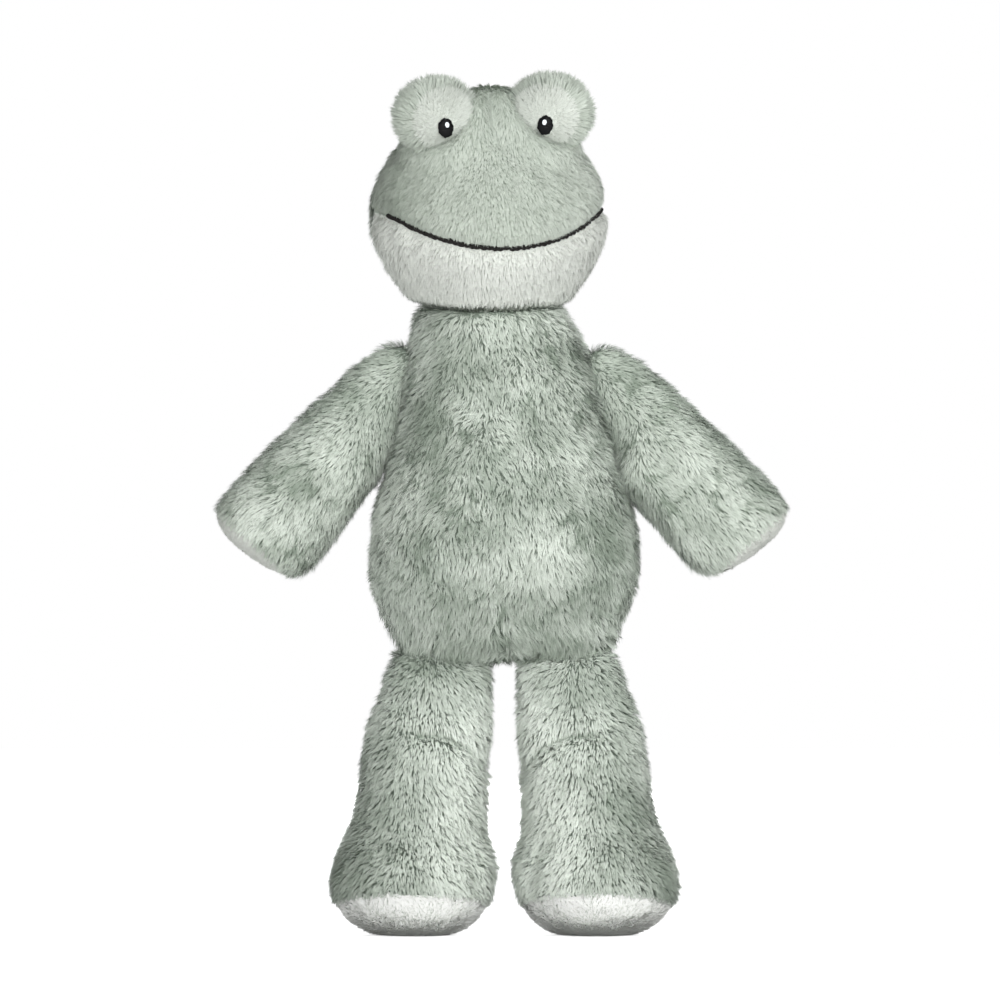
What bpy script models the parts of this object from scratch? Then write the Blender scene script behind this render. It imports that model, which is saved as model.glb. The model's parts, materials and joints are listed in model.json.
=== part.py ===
"""A stuffed plush frog: fur-cloth panels over fibre filling, floppy sewn-on limbs and a head that turns.

Metres, +Z up, standing on its soles, face towards -Y. Each stuffed form is a coarse cage of rings, extruded
one after the other and rounded by subdivision. Its panels are that form, hollowed by a smaller one and cut
at the seams, and its filling is the smaller form with a small clearance.
"""
import math
from collections import namedtuple

import bmesh
import bpy
from mathutils import Matrix, Vector
from mathutils.bvhtree import BVHTree

# Sizes shared by all pieces
cloth = 0.0022               # fur cloth: knitted backing with the dense foot of its pile
clearance = 0.0003           # gap between pieces that touch
swing_clearance = 0.0005     # gap between a limb's sewn root and the torso
root_radius = 0.0024         # half thickness of a limb where it is sewn flat, round its joint's axis
root_tip_share = 1.12        # the sewn edge's tip beyond the axis, and its half thickness there
root_tip_depth_share = 0.40
hip_seat_share = 0.88        # how far the torso's bottom seam lies over the hip axis, of the root's radius
floor_cut = 0.0005           # depth of the flat on each sole
cutter_reach = 0.4           # half size of the boxes that trim at a seam

# Torso
hip_height = 0.1010          # height of the hip axis over the floor
torso_height = 0.1340        # bottom seam to neck seam
torso_half_width = 0.0510
torso_front = 0.0390         # belly in front of the side seams
torso_back = 0.0330
neck_radius = 0.0274
neck_band = 0.0050           # straight collar under the neck seam
neck_shift = -0.0046         # the head sits a little to one side, as sewn
head_lean = math.radians(2.0)    # and leans
head_turn = math.radians(10.0)   # and looks a little to the other side

# Height, half width, front, back and sideways shift, as shares of the torso's sizes
torso_shares = (
    (0.000, 0.720, 0.022, 0.024, 0.0),
    (0.030, 0.760, 0.175, 0.170, 0.0),
    (0.075, 0.820, 0.385, 0.380, 0.0),
    (0.135, 0.900, 0.630, 0.630, 0.0),
    (0.220, 0.990, 0.870, 0.870, 0.0),
    (0.335, 1.015, 1.000, 1.000, 0.0),
    (0.470, 0.960, 0.985, 0.985, 0.0),
    (0.600, 0.845, 0.890, 0.910, 0.0),
    (0.870, 0.685, 0.700, 0.760, 0.4),
    (0.925, 0.625, 0.680, 0.760, 0.7),
)
shoulder_share = 0.915       # where an arm's sewn root starts and ends, up the torso
armpit_share = 0.600

# Head, in a frame that stands on the neck seam
head_height = 0.0845
head_half_width = 0.0449
muzzle_reach = 0.0450        # neck axis to the front of the muzzle
head_back = 0.0375
head_seam = 0.0045           # the seam behind the face, behind the neck axis
mouth_height = 0.0240        # lowest point of the mouth over the neck seam
mouth_radius = 0.0650        # the mouth is an arc as seen from the front
mouth_width_share = 0.890    # of the head's width
mouth_cord = 0.0012          # thickness of the stitched line
mouth_steps = 22

head_shares = (
    (0.000, 0.570, 0.580, 0.650),
    (0.035, 0.640, 0.680, 0.730),
    (0.135, 0.765, 0.860, 0.850),
    (0.260, 0.915, 1.000, 0.945),
    (0.420, 1.030, 1.010, 1.005),
    (0.570, 0.970, 0.860, 1.010),
    (0.700, 0.860, 0.600, 0.960),
    (0.820, 0.700, 0.400, 0.850),
    (0.930, 0.430, 0.220, 0.620),
    (1.000, 0.150, 0.090, 0.280),
)

# Eye bulges: flattened stuffed discs on the head's upper corners
eye_side = 0.0228            # from the middle of the head
eye_forward = 0.0155
eye_height = 0.0752          # over the neck seam
eye_half_width = 0.0158
eye_half_depth = 0.0098
eye_half_height = 0.0142
eye_toe_in = math.radians(10.0)
eye_seam = 0.0065            # the front panel's seam, in front of the disc's middle
eye_seam_turn = math.radians(7.0)    # the front panel faces in and down a little
eye_seam_dip = math.radians(7.0)
pupil_inward = 0.0018        # from the middle of the disc
pupil_down = 0.0048
pupil_half_width = 0.0031
pupil_half_depth = 0.0010
pupil_half_height = 0.0037
highlight_half_width = 0.0008
highlight_half_depth = 0.0006
highlight_half_height = 0.0011
highlight_rise = 0.0010
highlight_inward = 0.0005

# Arms: upper edge along and out, lower edge along and out, and depth, as shares of the arm's sizes
arm_length = 0.0835
arm_width = 0.0425
arm_half_depth = 0.0165
arm_droop = math.radians(48.0)   # the arm points out and this far down
arm_shares = (
    (-0.090, 0.395, 0.310, -0.312, 0.300),
    (0.060, 0.475, 0.325, -0.355, 0.500),
    (0.275, 0.530, 0.455, -0.385, 0.790),
    (0.555, 0.565, 0.625, -0.440, 1.000),
    (0.795, 0.570, 0.790, -0.475, 1.030),
    (0.915, 0.555, 0.865, -0.475, 1.010),
    (0.965, 0.470, 0.920, -0.410, 0.870),
    (0.995, 0.240, 0.955, -0.235, 0.480),
)
paw_seam_share = 0.905       # where the paw pad is sewn on, along the arm

# Legs: height from hip to floor, middle, half width, front and back, as shares of the leg's sizes
hip_side = 0.0236            # hip to the middle plane
foot_out = 0.0112            # the foot stands this much further out than the hip
leg_half_width = 0.0297
hip_half_width = 0.0184      # of the leg's sewn edge
foot_front = 0.0330
foot_back = 0.0245
leg_shares = (
    (0.930, 0.12, 0.660, 0.185, 0.240),
    (0.840, 0.33, 0.755, 0.345, 0.450),
    (0.690, 0.51, 0.810, 0.530, 0.690),
    (0.480, 0.65, 0.830, 0.625, 0.795),
    (0.380, 0.82, 0.875, 0.690, 0.815),
    (0.290, 0.97, 0.975, 0.880, 0.900),
    (0.165, 1.00, 1.020, 1.005, 0.995),
    (0.070, 1.00, 0.920, 0.920, 0.920),
    (0.014, 0.97, 0.620, 0.670, 0.680),
    (0.000, 0.95, 0.360, 0.430, 0.430),
)
sole_seam_height = 0.0098    # middle of the sole's seam over the floor
sole_seam_tilt = math.radians(9.5)   # the seam rises towards the toes

# Fineness: ring points of the cages, rounding of the outer forms, and points round the small discs
cage_points = 12
round_levels = 1
eye_points = 14
pupil_points = 10
bulge_steps = 8              # places along the shoulder where the torso's bulge is measured

Ring = namedtuple("Ring", "middle reach front back")


for thing in list(bpy.data.objects):
    bpy.data.objects.remove(thing)

parts = bpy.data.collections.new("plush_frog")
cutters = bpy.data.collections.new("cutters")
bpy.context.scene.collection.children.link(parts)
bpy.context.scene.collection.children.link(cutters)


def make_material(name, colour, roughness):
    """A plain Principled material in the colour of the photographed fabric or thread."""
    material = bpy.data.materials.new(name)
    material.use_nodes = True
    shader = material.node_tree.nodes["Principled BSDF"]
    shader.inputs["Base Color"].default_value = (*colour, 1.0)
    shader.inputs["Roughness"].default_value = roughness
    shader.inputs["Metallic"].default_value = 0.0
    return material


tipped_plush = make_material("tipped_plush", (0.43, 0.48, 0.42), 0.95)
face_plush = make_material("face_plush", (0.52, 0.58, 0.50), 0.95)
pale_plush = make_material("pale_plush", (0.66, 0.70, 0.64), 0.95)
fibre_fill = make_material("fibre_fill", (0.85, 0.85, 0.82), 1.0)
black_thread = make_material("black_thread", (0.010, 0.010, 0.012), 0.45)
white_thread = make_material("white_thread", (0.85, 0.85, 0.85), 0.45)
grey_thread = make_material("grey_thread", (0.045, 0.048, 0.045), 0.6)


# Frames: the whole toy hangs on one empty, and each moving part on an empty at its joint

def make_frame(name, place, parent=None, turn=None):
    """An empty at a place in its parent, turned by a matrix if one is given."""
    frame = bpy.data.objects.new(name, None)
    bpy.context.scene.collection.objects.link(frame)
    frame.parent = parent
    frame.matrix_local = Matrix.Translation(place) @ (turn if turn else Matrix.Identity(4))
    return frame


torso_bottom = hip_height + hip_seat_share * root_radius
neck_seam_height = torso_bottom + torso_height
toy = make_frame("toy", Vector((0, 0, 0)))
neck = make_frame(
    "neck",
    Vector((neck_shift, 0, neck_seam_height)),
    toy,
    Matrix.Rotation(-head_lean, 4, "Y"),
)
head_frame = make_frame("head_frame", Vector((0, 0, clearance)), neck, Matrix.Rotation(head_turn, 4, "Z"))


# Forms: a cage of rings, extruded one after the other

def ring_places(ring, angles, swell):
    """The corners of one ring, swelled so that its rounded form passes through the ring's own sizes."""
    places = []
    for angle in angles:
        depth = ring.front if math.sin(angle) > 0 else ring.back
        places.append(
            ring.middle
            + ring.reach * swell * math.cos(angle)
            - Vector((0, depth * swell * math.sin(angle), 0))
        )
    return places


def form_mesh(name, rings, rounded):
    """A closed cage: a unit cone primitive whose top cap is extruded from ring to ring."""
    swell = 1 / (0.75 + 0.25 * math.cos(2 * math.pi / cage_points)) if rounded else 1
    offset = 0 if rounded else math.pi / cage_points
    cage = bmesh.new()
    bmesh.ops.create_cone(cage, cap_ends=True, segments=cage_points, radius1=1, radius2=1, depth=1)
    lowest = min(cage.faces, key=lambda face: face.calc_center_median().z)
    cap = max(cage.faces, key=lambda face: face.calc_center_median().z)
    angles = [math.atan2(vert.co.y, vert.co.x) + offset for vert in lowest.verts]
    for vert, place in zip(lowest.verts, ring_places(rings[0], angles, swell)):
        vert.co = place
    angles = [math.atan2(vert.co.y, vert.co.x) + offset for vert in cap.verts]
    for step, ring in enumerate(rings[1:]):
        if step:
            cap = bmesh.ops.extrude_discrete_faces(cage, faces=[cap])["faces"][0]
        for vert, place in zip(cap.verts, ring_places(ring, angles, swell)):
            vert.co = place
    bmesh.ops.recalc_face_normals(cage, faces=cage.faces)
    if not rounded:
        bmesh.ops.triangulate(cage, faces=cage.faces, quad_method="FIXED", ngon_method="BEAUTY")
    mesh = bpy.data.meshes.new(name)
    cage.to_mesh(mesh)
    cage.free()
    return mesh


def drawn_in(rings, inset, skip=0):
    """The rings of a smaller form inside: drawn in all round and at both ends, without the flat root."""
    first, last = rings[0].middle, rings[-1].middle
    middle = (first + last) / 2
    length = (last - first).length
    shrink = 1 - 2 * inset / length
    smaller = []
    for ring in rings[skip:]:
        across = ring.reach.normalized()
        slant = across.cross((last - first) / length).length
        smaller.append(
            Ring(
                middle + (ring.middle - middle) * shrink,
                ring.reach - across * inset / slant,
                ring.front - inset,
                ring.back - inset,
            )
        )
    return smaller


def place_in(thing, frame, material, collection):
    """Links an object, hangs it on its frame and shades it smooth."""
    collection.objects.link(thing)
    thing.parent = frame
    if material:
        thing.data.materials.append(material)
    thing.data.shade_smooth()
    return thing


def add_rounding(thing):
    rounding = thing.modifiers.new("rounding", "SUBSURF")
    rounding.levels = round_levels
    rounding.render_levels = round_levels


def add_cut(thing, cutter):
    cut = thing.modifiers.new("cut by " + cutter.name, "BOOLEAN")
    cut.operation = "DIFFERENCE"
    cut.solver = "EXACT"
    cut.object = cutter


def make_cutter(name, mesh, frame):
    cutter = place_in(bpy.data.objects.new(name, mesh), frame, None, cutters)
    cutter.hide_render = True
    cutter.display_type = "WIRE"
    return cutter


def make_form(name, rings, frame, material):
    """A stuffed form as a piece, still whole; its hollow and its seams are cut afterwards."""
    form = place_in(bpy.data.objects.new(name, form_mesh(name, rings, True)), frame, material, parts)
    add_rounding(form)
    return form


def make_filling(name, rings, frame, skip):
    """The filling: a plain smaller form that clears the cloth."""
    mesh = form_mesh(name, drawn_in(rings, cloth + clearance, skip), False)
    place_in(bpy.data.objects.new(name, mesh), frame, fibre_fill, parts)


def make_grown(name, rings, gap, frame):
    """The form grown by a gap, as a cutter for what sits against it."""
    grown = make_cutter(name, form_mesh(name, drawn_in(rings, -gap), True), frame)
    add_rounding(grown)
    return grown


def make_hollow(name, rings, frame, skip):
    """The space inside the cloth, as a cutter."""
    return make_cutter(name, form_mesh(name, drawn_in(rings, cloth, skip), False), frame)


def box_cutter(name, frame, place, normal):
    """A large box with one face through a place, which takes away all that lies along the normal."""
    box = bmesh.new()
    bmesh.ops.create_cube(box, size=2 * cutter_reach)
    away = normal.normalized()
    turn = Vector((0, 0, 1)).rotation_difference(away).to_matrix().to_4x4()
    bmesh.ops.transform(box, matrix=Matrix.Translation(place + away * cutter_reach) @ turn, verts=box.verts)
    mesh = bpy.data.meshes.new(name)
    box.to_mesh(mesh)
    box.free()
    return make_cutter(name, mesh, frame)


def surface_of(thing):
    """The evaluated surface of an object, in its own frame, to find places on it."""
    bpy.context.view_layer.update()
    evaluated = thing.evaluated_get(bpy.context.evaluated_depsgraph_get())
    mesh = evaluated.to_mesh()
    corners = [vert.co.copy() for vert in mesh.vertices]
    surface = BVHTree.FromPolygons(corners, [face.vertices[:] for face in mesh.polygons])
    evaluated.to_mesh_clear()
    return surface


def root_rings(leaves, across):
    """A limb's sewn edge: thin, and round about its joint's axis, which lies along it."""
    tip = Ring(
        leaves * -root_tip_share * root_radius,
        across,
        root_tip_depth_share * root_radius,
        root_tip_depth_share * root_radius,
    )
    return [tip, Ring(Vector((0, 0, 0)), across, root_radius, root_radius)]


half_gap = clearance / 2
ahead = Vector((0, -1, 0))
behind = Vector((0, 1, 0))


# Torso: front and back panel over one filling

torso_rings = [
    Ring(
        Vector((shift * neck_shift, 0, torso_bottom + up * torso_height)),
        Vector((wide * torso_half_width, 0, 0)),
        front * torso_front,
        back * torso_back,
    )
    for up, wide, front, back, shift in torso_shares
]
for drop in (neck_band, 0):
    torso_rings.append(
        Ring(
            Vector((neck_shift, 0, neck_seam_height - drop)),
            Vector((math.cos(head_lean), 0, math.sin(head_lean))) * neck_radius,
            neck_radius,
            neck_radius,
        )
    )

torso_grown = make_grown("torso_grown", torso_rings, swing_clearance, toy)
torso_hollow = make_hollow("torso_hollow", torso_rings, toy, 1)
torso_rear_half = box_cutter("torso_rear_half", toy, behind * half_gap * -1, behind)
torso_front_half = box_cutter("torso_front_half", toy, ahead * half_gap * -1, ahead)
for name, trim in (("torso_front_panel", torso_rear_half), ("torso_back_panel", torso_front_half)):
    panel = make_form(name, torso_rings, toy, tipped_plush)
    add_cut(panel, trim)
    add_cut(panel, torso_hollow)
make_filling("torso_stuffing", torso_rings, toy, 1)


# Head: face, pale jaw and back panel over one filling

head_rings = [
    Ring(
        Vector((0, 0, up * head_height)),
        Vector((wide * head_half_width, 0, 0)),
        front * muzzle_reach,
        back * head_back,
    )
    for up, wide, front, back in head_shares
]


def mouth_cutter(name, radius, keep_above):
    """A long drum along Y whose lower side is the mouth's arc, or a block with that drum taken out."""
    drum = bmesh.new()
    centre = Vector((0, 0, mouth_height + mouth_radius))
    bmesh.ops.create_cone(
        drum,
        cap_ends=True,
        segments=mouth_steps * 3,
        radius1=radius,
        radius2=radius,
        depth=2 * cutter_reach,
        matrix=Matrix.Translation(centre) @ Matrix.Rotation(math.pi / 2, 4, "X"),
    )
    mesh = bpy.data.meshes.new(name)
    drum.to_mesh(mesh)
    drum.free()
    cutter = make_cutter(name, mesh, head_frame)
    if not keep_above:
        return cutter
    block = box_cutter(name + "_block", head_frame, Vector((0, 0, cutter_reach)), Vector((0, 0, -1)))
    add_cut(block, cutter)
    return block


head_hollow = make_hollow("head_hollow", head_rings, head_frame, 0)
head_grown = make_grown("head_grown", head_rings, clearance, head_frame)
above_mouth = mouth_cutter("above_mouth", mouth_radius + half_gap, False)
below_mouth = mouth_cutter("below_mouth", mouth_radius - half_gap, True)
behind_face = box_cutter("behind_face", head_frame, Vector((0, head_seam - half_gap, 0)), behind)
before_back = box_cutter("before_back", head_frame, Vector((0, head_seam + half_gap, 0)), ahead)
head_panels = (
    ("head_face_panel", face_plush, (below_mouth, behind_face)),
    ("head_jaw_panel", pale_plush, (above_mouth, behind_face)),
    ("head_back_panel", tipped_plush, (before_back,)),
)
for name, material, trims in head_panels:
    panel = make_form(name, head_rings, head_frame, material)
    for cutter in (*trims, head_hollow):
        add_cut(panel, cutter)
make_filling("head_stuffing", head_rings, head_frame, 0)


# Mouth: a stitched line that lies on the seam between face and jaw

head_surface = surface_of(head_grown)
mouth_places = []
for step in range(mouth_steps + 1):
    side = mouth_width_share * head_half_width * math.sin(math.pi / 2 * (2 * step / mouth_steps - 1))
    height = mouth_height + mouth_radius - math.sqrt(mouth_radius ** 2 - side ** 2)
    start = Vector((side, -cutter_reach, height))
    place, normal, face_index, distance = head_surface.ray_cast(start, behind)
    mouth_places.append(place + normal * (mouth_cord / 2 + clearance))

line = bpy.data.curves.new("mouth_stitch", "CURVE")
line.dimensions = "3D"
line.bevel_depth = mouth_cord / 2
line.bevel_resolution = 1
line.use_fill_caps = True
spline = line.splines.new("POLY")
spline.points.add(len(mouth_places) - 1)
for point, place in zip(spline.points, mouth_places):
    point.co = (*place, 1)
mouth_stitch = bpy.data.objects.new("mouth_stitch", line)
parts.objects.link(mouth_stitch)
mouth_stitch.parent = head_frame
line.materials.append(grey_thread)


# Eyes: a pale front panel and a green back panel over a small filling, with a stitched pupil and highlight

def ellipsoid(name, half_sizes, points):
    """A sphere primitive with its poles along Y, at the given half sizes."""
    ball = bmesh.new()
    bmesh.ops.create_uvsphere(
        ball,
        u_segments=points,
        v_segments=points // 2 + 2,
        radius=1,
        matrix=Matrix.Rotation(math.pi / 2, 4, "X"),
    )
    bmesh.ops.scale(ball, vec=half_sizes, verts=ball.verts)
    mesh = bpy.data.meshes.new(name)
    ball.to_mesh(mesh)
    ball.free()
    return mesh


eye_sizes = Vector((eye_half_width, eye_half_depth, eye_half_height))
cloth_wall = Vector((cloth, cloth, cloth))
gap_all_round = Vector((clearance, clearance, clearance))

for side_name, side in (("left", -1), ("right", 1)):
    eye = make_frame(
        "eye_" + side_name,
        Vector((side * eye_side, -eye_forward, eye_height)),
        head_frame,
        Matrix.Rotation(-side * eye_toe_in, 4, "Z"),
    )
    inside = ellipsoid("eye_hollow", eye_sizes - cloth_wall, eye_points)
    hollow = make_cutter("eye_hollow_" + side_name, inside, eye)
    gaze = Vector((-side * math.tan(eye_seam_turn), -1, -math.tan(eye_seam_dip))).normalized()
    rear = box_cutter("eye_rear_" + side_name, eye, gaze * (eye_seam + half_gap), -gaze)
    front = box_cutter("eye_front_" + side_name, eye, gaze * (eye_seam - half_gap), gaze)
    for piece, material, trim in (("front_panel", pale_plush, rear), ("back_panel", tipped_plush, front)):
        name = "eye_" + piece + "_" + side_name
        disc = ellipsoid(name, eye_sizes, eye_points)
        panel = place_in(bpy.data.objects.new(name, disc), eye, material, parts)
        for cutter in (hollow, trim, head_grown):
            add_cut(panel, cutter)
    name = "eye_stuffing_" + side_name
    inner = ellipsoid(name, eye_sizes - cloth_wall - gap_all_round, eye_points)
    filling = place_in(bpy.data.objects.new(name, inner), eye, fibre_fill, parts)
    add_cut(filling, head_grown)

    # The pupil is cut by the disc it lies on, and the highlight by the pupil
    across = -side * pupil_inward
    bulge = math.sqrt(1 - (pupil_inward / eye_half_width) ** 2 - (pupil_down / eye_half_height) ** 2)
    pupil_place = Vector((across, -eye_half_depth * bulge, -pupil_down))
    slope = Vector([value / half_size ** 2 for value, half_size in zip(pupil_place, eye_sizes)])
    lie = ahead.rotation_difference(slope).to_matrix().to_4x4()
    pupil_frame = make_frame("pupil_frame_" + side_name, pupil_place, eye, lie)
    pupil_sizes = Vector((pupil_half_width, pupil_half_depth, pupil_half_height))
    grown = ellipsoid("eye_grown", eye_sizes + gap_all_round, eye_points)
    grown_eye = make_cutter("eye_grown_" + side_name, grown, eye)
    name = "pupil_" + side_name
    disc = ellipsoid(name, pupil_sizes, pupil_points)
    pupil = place_in(bpy.data.objects.new(name, disc), pupil_frame, black_thread, parts)
    add_cut(pupil, grown_eye)
    add_cut(pupil, head_grown)
    grown = ellipsoid("pupil_grown", pupil_sizes + gap_all_round, pupil_points)
    grown_pupil = make_cutter("pupil_grown_" + side_name, grown, pupil_frame)
    name = "highlight_" + side_name
    highlight_sizes = Vector((highlight_half_width, highlight_half_depth, highlight_half_height))
    place = Vector((-side * highlight_inward, -pupil_half_depth, highlight_rise))
    glint = make_frame("glint_" + side_name, place, pupil_frame)
    disc = ellipsoid(name, highlight_sizes, pupil_points)
    highlight = place_in(bpy.data.objects.new(name, disc), glint, white_thread, parts)
    add_cut(highlight, grown_pupil)
    add_cut(highlight, head_grown)


# Arms: front and back panel and a pale paw pad over one filling, on an empty at the shoulder's sewn line

torso_surface = surface_of(torso_grown)


def torso_side(share, side):
    """A place on the torso's side, at a share of its height."""
    start = Vector((side * cutter_reach, 0, torso_bottom + share * torso_height))
    return torso_surface.ray_cast(start, Vector((-side, 0, 0)))[0]


for side_name, side in (("left", -1), ("right", 1)):
    shoulder_top = torso_side(shoulder_share, side)
    armpit = torso_side(armpit_share, side)
    shoulder_line = (armpit - shoulder_top).normalized()
    leaves = Vector((-shoulder_line.z, 0, shoulder_line.x)) * side
    span_share = (shoulder_share - armpit_share) / bulge_steps
    shares = [armpit_share + span_share * step for step in range(bulge_steps)]
    bulge = max((torso_side(share, side) - shoulder_top).dot(leaves) for share in shares)
    shoulder_middle = (shoulder_top + armpit) / 2 + leaves * (root_radius + bulge)
    shoulder = make_frame("shoulder_" + side_name, shoulder_middle, toy)
    print("shoulder line", side_name, [round(value, 5) for value in shoulder_line])
    along = Vector((side * math.cos(arm_droop), 0, -math.sin(arm_droop)))
    outward = Vector((side * math.sin(arm_droop), 0, math.cos(arm_droop)))
    arm_rings = root_rings(leaves, (shoulder_top - armpit) / 2)
    for upper_along, upper_out, lower_along, lower_out, deep in arm_shares:
        upper = along * upper_along * arm_length + outward * upper_out * arm_width
        lower = along * lower_along * arm_length + outward * lower_out * arm_width
        arm_rings.append(
            Ring((upper + lower) / 2, (upper - lower) / 2, deep * arm_half_depth, deep * arm_half_depth)
        )
    hollow = make_hollow("arm_hollow_" + side_name, arm_rings, shoulder, 2)
    rear = box_cutter("arm_rear_" + side_name, shoulder, behind * half_gap * -1, behind)
    front = box_cutter("arm_front_" + side_name, shoulder, ahead * half_gap * -1, ahead)
    seam = along * paw_seam_share * arm_length
    beyond = box_cutter("arm_beyond_" + side_name, shoulder, seam - along * half_gap, along)
    before = box_cutter("arm_before_" + side_name, shoulder, seam + along * half_gap, -along)
    arm_panels = (
        ("arm_front_panel_", tipped_plush, (rear, beyond)),
        ("arm_back_panel_", tipped_plush, (front, beyond)),
        ("paw_pad_", pale_plush, (before,)),
    )
    for piece, material, trims in arm_panels:
        panel = make_form(piece + side_name, arm_rings, shoulder, material)
        for cutter in (hollow, *trims):
            add_cut(panel, cutter)
    make_filling("arm_stuffing_" + side_name, arm_rings, shoulder, 2)


# Legs: front and back panel and a pale sole pad over one filling, on an empty at the hip's sewn line

for side_name, side in (("left", -1), ("right", 1)):
    hip = make_frame("hip_" + side_name, Vector((side * hip_side, 0, hip_height)), toy)
    leg_rings = root_rings(Vector((0, 0, -1)), Vector((hip_half_width, 0, 0)))
    leg_rings += [
        Ring(
            Vector((side * out * foot_out, 0, (up - 1) * hip_height - floor_cut)),
            Vector((wide * leg_half_width, 0, 0)),
            toe * foot_front,
            heel * foot_back,
        )
        for up, out, wide, toe, heel in leg_shares
    ]
    hollow = make_hollow("leg_hollow_" + side_name, leg_rings, hip, 2)
    rear = box_cutter("leg_rear_" + side_name, hip, behind * half_gap * -1, behind)
    front = box_cutter("leg_front_" + side_name, hip, ahead * half_gap * -1, ahead)
    floor = box_cutter("floor_" + side_name, hip, Vector((0, 0, -hip_height)), Vector((0, 0, -1)))
    seam = Vector((0, 0, sole_seam_height - hip_height))
    seam_normal = Vector((0, math.sin(sole_seam_tilt), math.cos(sole_seam_tilt)))
    under = box_cutter("leg_under_" + side_name, hip, seam + seam_normal * half_gap, -seam_normal)
    over = box_cutter("leg_over_" + side_name, hip, seam - seam_normal * half_gap, seam_normal)
    leg_panels = (
        ("leg_front_panel_", tipped_plush, (rear, under)),
        ("leg_back_panel_", tipped_plush, (front, under)),
        ("sole_pad_", pale_plush, (over, floor)),
    )
    for piece, material, trims in leg_panels:
        panel = make_form(piece + side_name, leg_rings, hip, material)
        for cutter in (hollow, *trims):
            add_cut(panel, cutter)
    make_filling("leg_stuffing_" + side_name, leg_rings, hip, 2)


# The toy is centred fore and aft on its own extent

bpy.context.view_layer.update()
graph = bpy.context.evaluated_depsgraph_get()
depths = []
for thing in parts.objects:
    evaluated = thing.evaluated_get(graph)
    depths.extend((evaluated.matrix_world @ vert.co).y for vert in evaluated.to_mesh().vertices)
    evaluated.to_mesh_clear()
toy.location.y = -(min(depths) + max(depths)) / 2
bpy.context.view_layer.update()

for name in ("neck", "shoulder_left", "shoulder_right", "hip_left", "hip_right"):
    print(name, [round(value, 5) for value in bpy.data.objects[name].matrix_world.translation])
print("neck axis", [round(value, 5) for value in neck.matrix_world.to_3x3() @ Vector((0, 0, 1))])
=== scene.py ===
# %% [markdown]
# # A stuffed plush frog
# The frame holds the toy's solids: cloth panels, fillings, stitched eyes and the mouth's cord, with the
# joints of its neck and limbs. This lesson dresses them. Each stuffed form is blown up by a cloth
# simulation, and its pile, the fur, is sown on it as many thin blades of mesh, combed and clumped as on the
# real cloth.

import json
import math
from collections import namedtuple

import bpy
import numpy as np
from mathutils import Matrix, Vector, kdtree, noise

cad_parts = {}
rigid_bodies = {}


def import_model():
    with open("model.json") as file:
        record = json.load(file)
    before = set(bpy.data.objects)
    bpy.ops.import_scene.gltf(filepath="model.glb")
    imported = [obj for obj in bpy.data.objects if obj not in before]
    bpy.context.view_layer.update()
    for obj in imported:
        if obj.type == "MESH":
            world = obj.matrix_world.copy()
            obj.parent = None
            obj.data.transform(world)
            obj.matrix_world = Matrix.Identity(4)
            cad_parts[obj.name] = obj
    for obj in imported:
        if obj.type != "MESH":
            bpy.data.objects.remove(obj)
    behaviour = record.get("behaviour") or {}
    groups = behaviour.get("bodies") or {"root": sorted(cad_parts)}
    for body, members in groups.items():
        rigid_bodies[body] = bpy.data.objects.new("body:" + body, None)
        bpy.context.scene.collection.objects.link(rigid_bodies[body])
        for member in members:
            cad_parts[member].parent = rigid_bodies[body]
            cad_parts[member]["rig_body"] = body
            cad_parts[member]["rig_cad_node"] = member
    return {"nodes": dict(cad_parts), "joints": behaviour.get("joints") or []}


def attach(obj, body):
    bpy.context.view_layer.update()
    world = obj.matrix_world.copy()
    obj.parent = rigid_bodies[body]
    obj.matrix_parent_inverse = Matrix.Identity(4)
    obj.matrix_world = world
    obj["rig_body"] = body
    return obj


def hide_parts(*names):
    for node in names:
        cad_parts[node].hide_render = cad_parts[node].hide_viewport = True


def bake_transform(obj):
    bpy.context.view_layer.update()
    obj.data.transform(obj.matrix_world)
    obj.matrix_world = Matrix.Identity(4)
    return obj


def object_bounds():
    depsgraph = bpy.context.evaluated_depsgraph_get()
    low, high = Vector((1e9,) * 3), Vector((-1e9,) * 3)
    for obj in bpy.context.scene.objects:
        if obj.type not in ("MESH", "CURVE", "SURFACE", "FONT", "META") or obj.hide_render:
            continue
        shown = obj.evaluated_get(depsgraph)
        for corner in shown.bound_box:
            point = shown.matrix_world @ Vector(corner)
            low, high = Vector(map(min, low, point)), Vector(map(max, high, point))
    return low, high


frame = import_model()
nodes = frame["nodes"]
cad_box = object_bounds()
low, high = ([round(v, 4) for v in corner] for corner in cad_box)
print("solids:", len(nodes), "box from", low, "to", high)

# %% [markdown]
# ## Places
# The joints' places come with the frame. The head stands on the neck's seam, leans a little and looks a
# little to one side, so the places of its seams are written in a frame of its own, and the same holds for
# each eye. Places on the limbs are written as distances from the seam that sews them to the body. Left and
# right are as the picture shows them, and all lengths are in metres.

# %% Places on the toy
pivots = {joint["child"]: Vector(joint["pos_m"]) for joint in frame["joints"]}
seam_lines = {joint["child"]: Vector(joint["axis"]) for joint in frame["joints"]}
seam_depth = pivots["head"].y
neck_height = pivots["head"].z
sides = {"left": -1, "right": 1}
head_lean = math.radians(-2.0)
head_turn = math.radians(10.0)
head_place = (
    Matrix.Translation(pivots["head"])
    @ Matrix.Rotation(head_lean, 4, "Y")
    @ Matrix.Rotation(head_turn, 4, "Z")
)
eye_across, eye_depth, eye_height = 0.0228, -0.0155, 0.0755
eye_turn = math.radians(10.0)
eye_place = {
    name: head_place
    @ Matrix.Translation((side * eye_across, eye_depth, eye_height))
    @ Matrix.Rotation(-side * eye_turn, 4, "Z")
    for name, side in sides.items()
}
gaze_slope = math.tan(math.radians(7.0))
eye_gaze = {name: Vector((-side * gaze_slope, -1, -gaze_slope)).normalized() for name, side in sides.items()}
arm_spread, arm_drop = 0.669, 0.743
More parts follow.
